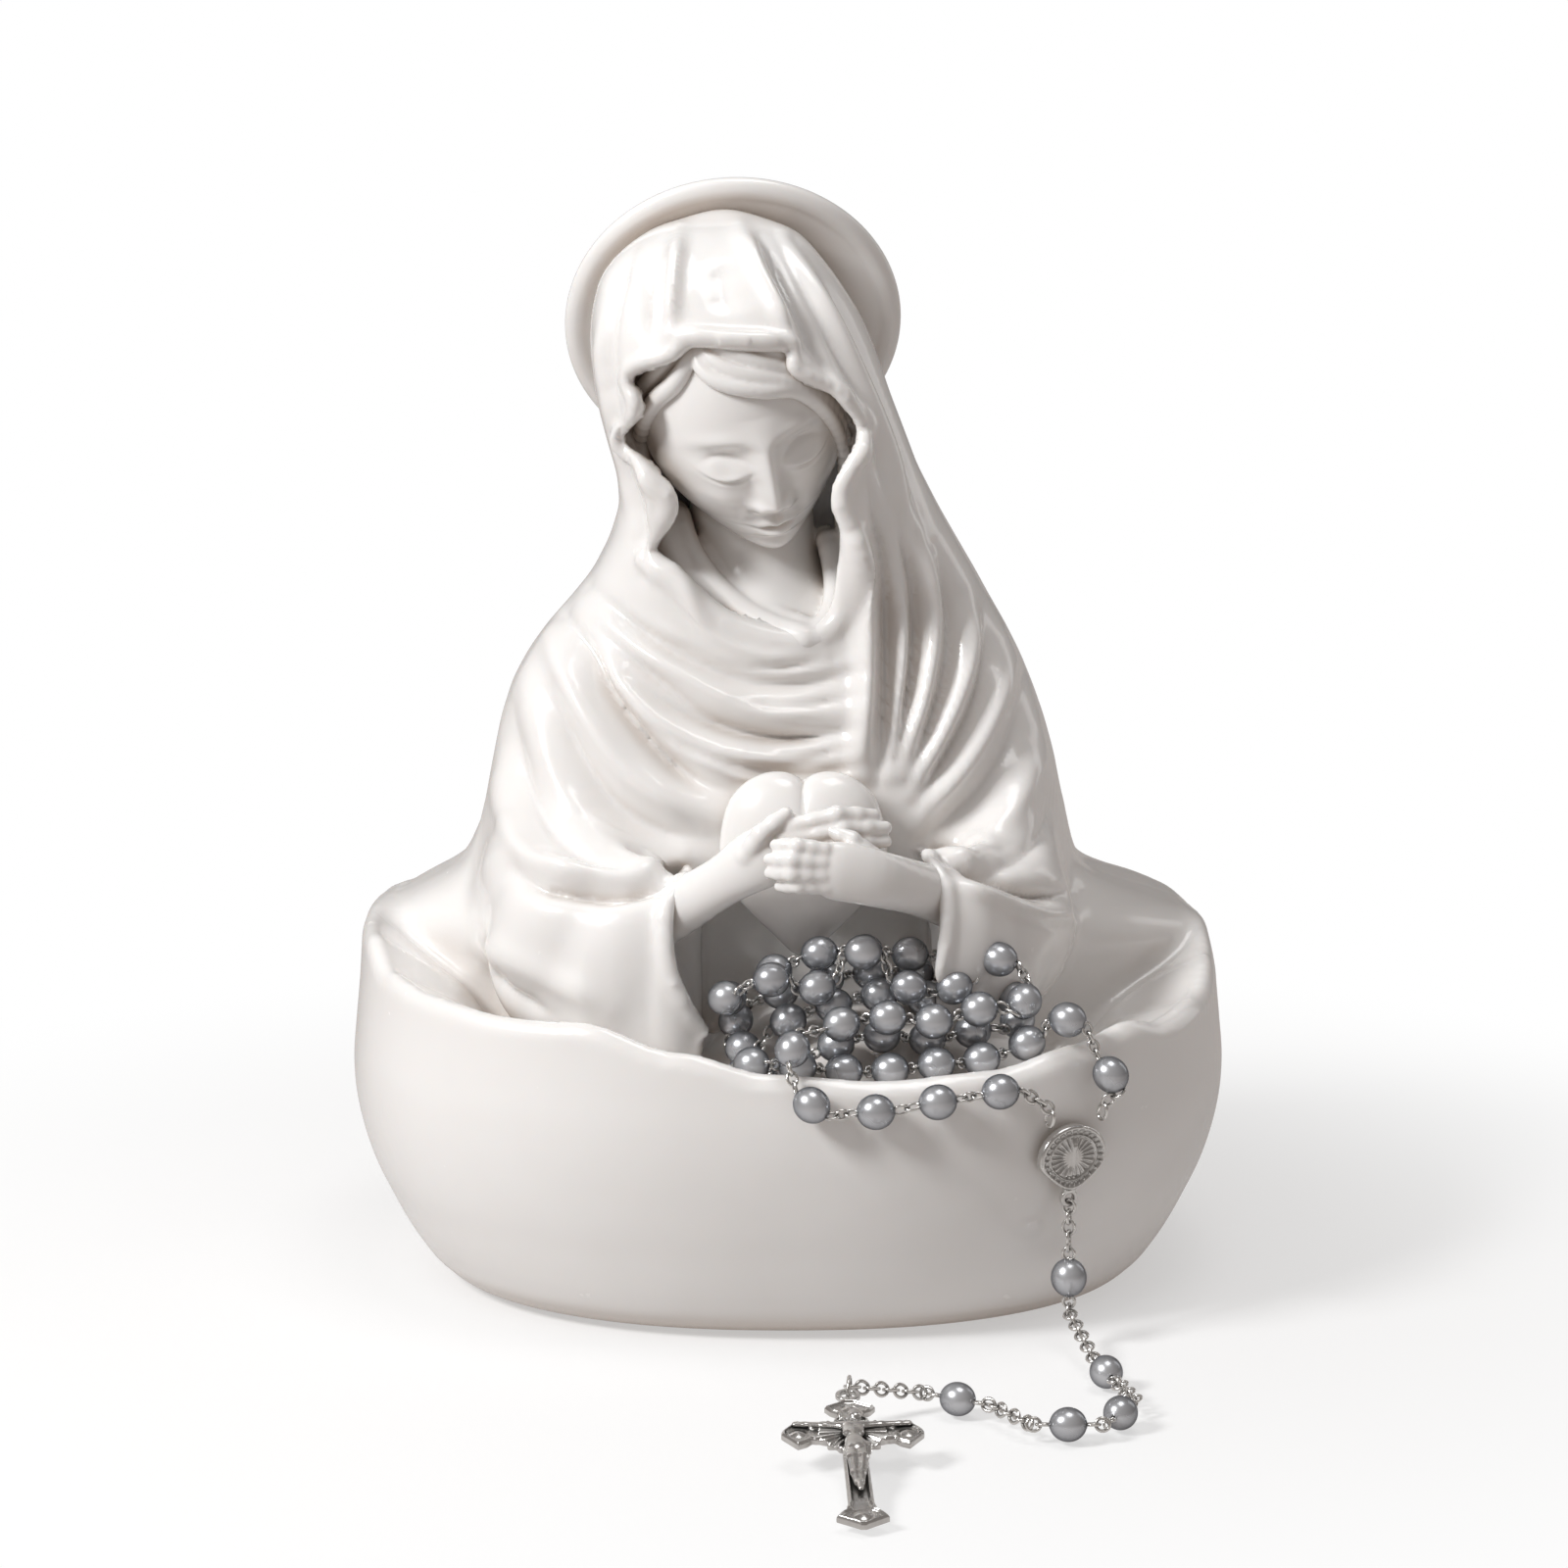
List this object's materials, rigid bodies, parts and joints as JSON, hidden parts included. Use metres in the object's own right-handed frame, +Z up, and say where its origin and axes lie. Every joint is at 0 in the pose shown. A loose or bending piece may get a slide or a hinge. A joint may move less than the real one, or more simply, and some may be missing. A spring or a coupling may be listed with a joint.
{
  "type": "madonna statue",
  "caption": "Veiled praying woman with halo and heart rising from a wavy-rimmed dish that holds a bead rosary with medal and crucifix",
  "frame": {"origin": "middle of the dish's underside, on the surface it rests on", "axes": "+Z up, the figure faces -Y, +X to the viewer's right"},
  "size_m": [0.1478, 0.1991, 0.1836],
  "materials": {
    "resin": "cast resin, ivory white, satin with a soft sheen",
    "pearl_bead": "grey pearlescent lacquer on round beads",
    "silver_metal": "antique silver plated zinc and wire",
    "felt": "dark felt pad"
  },
  "bodies": {
    "root": {"dish": "resin", "underside_pad": "felt", "mantle": "resin", "veil": "resin", "head": "resin", "halo": "resin", "heart": "resin", "sleeve_right": "resin", "sleeve_left": "resin", "forearm_right": "resin", "forearm_left": "resin", "decade_1": "pearl_bead", "decade_2": "pearl_bead", "decade_3": "pearl_bead", "decade_4": "pearl_bead", "decade_5": "pearl_bead", "divider_bead_1": "pearl_bead", "divider_bead_2": "pearl_bead", "divider_bead_3": "pearl_bead", "divider_bead_4": "pearl_bead", "medal_ring_left": "silver_metal", "medal_ring_right": "silver_metal"},
    "medal_body": {"medal": "silver_metal"},
    "lead_drop": {"lead_link_1": "silver_metal", "lead_bead_1": "pearl_bead", "lead_link_2": "silver_metal"},
    "lead_near": {"lead_bead_2": "pearl_bead", "lead_link_3": "silver_metal"},
    "lead_middle": {"lead_bead_3": "pearl_bead", "lead_bead_4": "pearl_bead"},
    "lead_tail": {"lead_link_4": "silver_metal", "lead_bead_5": "pearl_bead", "lead_link_5": "silver_metal"},
    "bail": {"bail_ring": "silver_metal"},
    "crucifix_body": {"crucifix": "silver_metal", "corpus": "silver_metal"}
  },
  "joints": [
    {"name": "medal_swing", "type": "hinge", "parent": "root", "child": "medal_body", "pos_m": [0.04508, -0.05607, 0.03747], "axis": [-0.8842, -0.4672, 0], "range_deg": [0, 20]},
    {"name": "lead_swing", "type": "hinge", "parent": "medal_body", "child": "lead_drop", "pos_m": [0.04448, -0.05494, 0.02473], "axis": [-0.8842, -0.4672, 0], "range_deg": [0, 18]},
    {"name": "lead_bend", "type": "hinge", "parent": "lead_drop", "child": "lead_near", "pos_m": [0.04771, -0.07003, 0.00276], "axis": [-1, 0, 0], "range_deg": [0, 20]},
    {"name": "lead_turn", "type": "hinge", "parent": "lead_near", "child": "lead_middle", "pos_m": [0.05233, -0.08894, 0.00285], "axis": [0, 0, 1], "range_deg": [-25, 25]},
    {"name": "tail_turn", "type": "hinge", "parent": "lead_middle", "child": "lead_tail", "pos_m": [0.03525, -0.09858, 0.00285], "axis": [0, 0, 1], "range_deg": [-25, 25]},
    {"name": "bail_turn", "type": "hinge", "parent": "lead_tail", "child": "bail", "pos_m": [0.00922, -0.09142, 0.0062], "axis": [0, 0, 1], "range_deg": [-30, 30]},
    {"name": "crucifix_flip", "type": "hinge", "parent": "bail", "child": "crucifix_body", "pos_m": [0.0088, -0.0952, 0.0062], "axis": [-1, 0, 0], "range_deg": [0, 40]}
  ]
}
